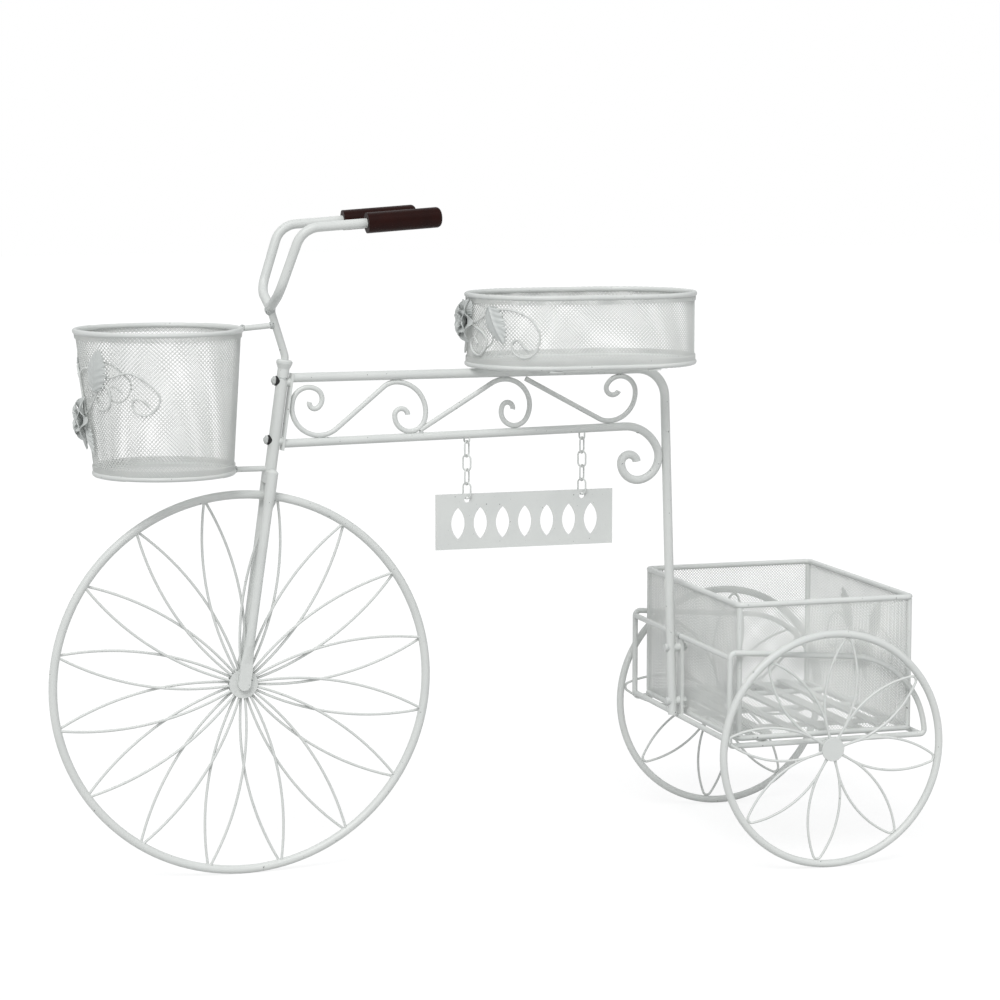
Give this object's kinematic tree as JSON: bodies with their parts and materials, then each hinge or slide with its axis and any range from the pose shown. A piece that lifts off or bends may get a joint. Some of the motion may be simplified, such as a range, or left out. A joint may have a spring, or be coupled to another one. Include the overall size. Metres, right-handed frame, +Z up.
{
  "type": "bicycle plant stand",
  "caption": "White three-wheeled bicycle plant stand with scroll-work frame, hanging sign and mesh baskets for pots.",
  "frame": {"origin": "on the floor under the middle of the stand: halfway along its length and on its middle plane", "axes": "+X along the stand from the front wheel towards the cart, +Y across it, +Z up; the side that faces the picture is -Y"},
  "size_m": [0.9384, 0.331, 0.7044],
  "materials": {
    "coat": "white powder coat, satin, slightly uneven at the welds",
    "mesh": "fine diamond expanded mesh, white powder coat",
    "fastener": "coated screws and nuts",
    "grip": "smooth very dark brown",
    "rubber": "plain black"
  },
  "bodies": {
    "stand": {"front_axle": "coat", "fork_blades": "coat", "fork_crown": "coat", "steerer_tube": "coat", "stem": "coat", "handlebar": "coat", "grips": "grip", "front_strip": "coat", "head_studs": "fastener", "cap_nuts": "fastener", "rubber_rings": "rubber", "frame_spacers": "coat", "main_tube": "coat", "lower_tube": "coat", "scroll_front": "coat", "scroll_middle": "coat", "scroll_rear": "coat", "chain_eyes": "coat", "front_basket_rim": "coat", "front_basket_wall": "mesh", "front_basket_floor": "mesh", "front_basket_brackets": "coat", "front_basket_vines": "coat", "front_basket_rose": "coat", "seat_basket_rim": "coat", "seat_basket_wall": "mesh", "seat_basket_floor": "mesh", "seat_basket_straps": "coat", "seat_basket_vines": "coat", "seat_basket_rose": "coat", "cart_side_frames": "coat", "cart_cross_bars": "coat", "cart_upright": "coat", "seat_bolts": "fastener", "seat_nuts": "fastener", "rear_axles": "coat", "axle_lugs": "coat", "axle_nuts": "fastener"},
    "front_wheel": {"front_rim": "coat", "front_petals": "coat", "front_hub": "coat"},
    "left_rear_wheel": {"left_rear_rim": "coat", "left_rear_petals": "coat", "left_rear_hub": "coat", "left_hub_cap": "coat"},
    "right_rear_wheel": {"right_rear_rim": "coat", "right_rear_petals": "coat", "right_rear_hub": "coat", "right_hub_cap": "coat"},
    "chain_level_1": {"chain_links_1": "coat"},
    "chain_level_2": {"chain_links_2": "coat"},
    "chain_level_3": {"chain_links_3": "coat"},
    "chain_level_4": {"chain_links_4": "coat"},
    "sign": {"sign_plate": "coat"},
    "rear_basket": {"rear_basket_rim": "coat", "rear_basket_posts": "coat", "rear_basket_walls": "mesh", "rear_basket_floor": "coat", "rear_basket_vines": "coat", "rear_basket_rose": "coat"}
  },
  "joints": [
    {"name": "front_wheel_spin", "type": "hinge", "parent": "stand", "child": "front_wheel", "pos_m": [-0.26425, 0, 0.205], "axis": [0, 1, 0], "continuous": true},
    {"name": "left_rear_wheel_spin", "type": "hinge", "parent": "stand", "child": "left_rear_wheel", "pos_m": [0.34075, -0.1615, 0.1285], "axis": [0, 1, 0], "continuous": true},
    {"name": "right_rear_wheel_spin", "type": "hinge", "parent": "stand", "child": "right_rear_wheel", "pos_m": [0.34075, 0.1615, 0.1285], "axis": [0, 1, 0], "continuous": true},
    {"name": "chain_swing_1", "type": "hinge", "parent": "stand", "child": "chain_level_1", "pos_m": [0.04775, 0, 0.45297], "axis": [1, 0, 0], "range_deg": [-20, 20]},
    {"name": "chain_swing_2", "type": "hinge", "parent": "chain_level_1", "child": "chain_level_2", "pos_m": [0.04775, 0, 0.43797], "axis": [1, 0, 0], "range_deg": [-20, 20]},
    {"name": "chain_swing_3", "type": "hinge", "parent": "chain_level_2", "child": "chain_level_3", "pos_m": [0.04775, 0, 0.42297], "axis": [1, 0, 0], "range_deg": [-20, 20]},
    {"name": "chain_swing_4", "type": "hinge", "parent": "chain_level_3", "child": "chain_level_4", "pos_m": [0.04775, 0, 0.40797], "axis": [1, 0, 0], "range_deg": [-20, 20]},
    {"name": "sign_swing", "type": "hinge", "parent": "chain_level_4", "child": "sign", "pos_m": [0.04775, 0, 0.39372], "axis": [1, 0, 0], "range_deg": [-20, 20]},
    {"name": "rear_basket_lift", "type": "slide", "parent": "stand", "child": "rear_basket", "axis": [0, 0, 1], "range_m": [0, 0.18]}
  ]
}
